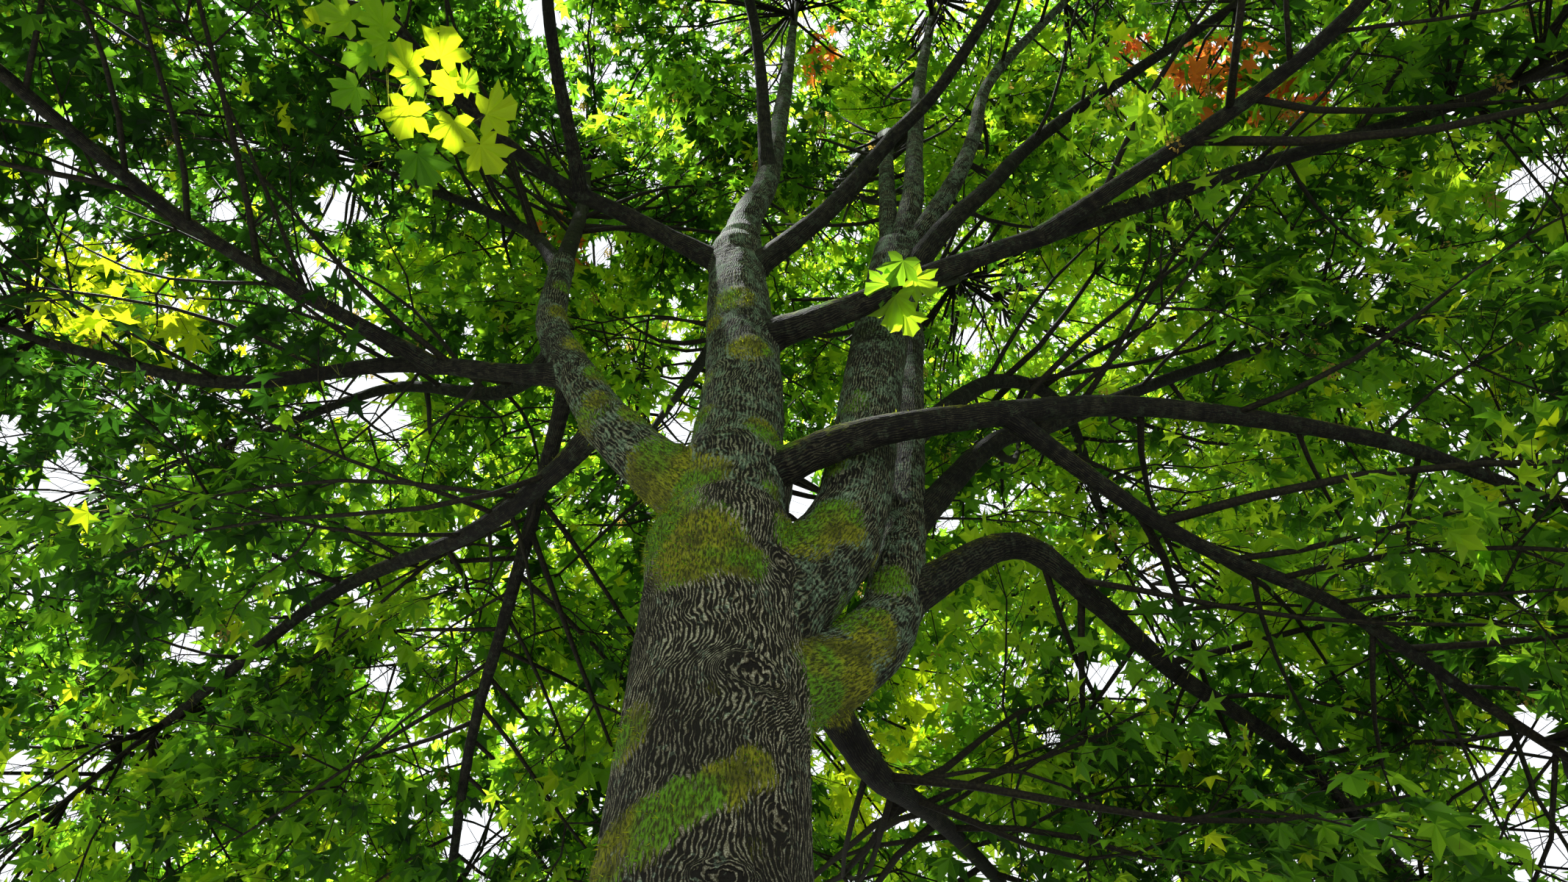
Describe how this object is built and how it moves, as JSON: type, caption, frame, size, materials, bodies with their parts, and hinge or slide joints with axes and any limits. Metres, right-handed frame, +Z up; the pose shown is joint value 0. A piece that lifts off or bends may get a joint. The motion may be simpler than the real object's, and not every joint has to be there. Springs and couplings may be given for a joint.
{
  "type": "maple tree",
  "caption": "Whole broad-leaved maple with a flared trunk that forks low into upright stems and arching boughs under a wide, rounded crown of lobed leaves.",
  "frame": {"origin": "centre of the trunk's flat cut at ground level", "axes": "+Z up along the trunk, +X to the right and +Y away from a viewer who stands at the crown's open front"},
  "size_m": [17.4095, 17.3716, 20.062],
  "materials": {
    "bark": "rough, furrowed grey-brown bark with moss and pale lichen",
    "foliage": "soft matt green leaves that let light through, with a few orange ones"
  },
  "bodies": {
    "root": {"back_bough": "bark", "back_bough_leaves": "foliage", "back_high_bough": "bark", "back_high_bough_leaves": "foliage", "back_left_bough": "bark", "back_left_bough_leaves": "foliage", "back_stem": "bark", "back_top": "bark", "back_top_leaves": "foliage", "centre_front_top": "bark", "centre_front_top_leaves": "foliage", "centre_stem": "bark", "centre_top": "bark", "centre_top_leaves": "foliage", "front_bough": "bark", "front_bough_leaves": "foliage", "front_left_bough": "bark", "front_left_bough_leaves": "foliage", "front_right_bough": "bark", "front_right_bough_leaves": "foliage", "left_back_top": "bark", "left_back_top_leaves": "foliage", "left_bough": "bark", "left_bough_leaves": "foliage", "left_far_bough": "bark", "left_far_bough_leaves": "foliage", "left_front_bough": "bark", "left_front_bough_leaves": "foliage", "left_low_bough": "bark", "left_low_bough_leaves": "foliage", "left_stem": "bark", "left_top": "bark", "left_top_leaves": "foliage", "low_back_bough": "bark", "low_back_bough_leaves": "foliage", "right_back_bough": "bark", "right_back_bough_leaves": "foliage", "right_drooping_bough": "bark", "right_drooping_bough_leaves": "foliage", "right_falling_bough": "bark", "right_falling_bough_leaves": "foliage", "right_far_top": "bark", "right_far_top_leaves": "foliage", "right_front_bough": "bark", "right_front_bough_leaves": "foliage", "right_inner_top": "bark", "right_inner_top_leaves": "foliage", "right_long_bough": "bark", "right_long_bough_leaves": "foliage", "right_low_bough": "bark", "right_low_bough_leaves": "foliage", "right_outer_top": "bark", "right_outer_top_leaves": "foliage", "right_rising_bough": "bark", "right_rising_bough_leaves": "foliage", "right_stem": "bark", "right_top": "bark", "right_top_leaves": "foliage", "trunk": "bark"}
  },
  "joints": []
}
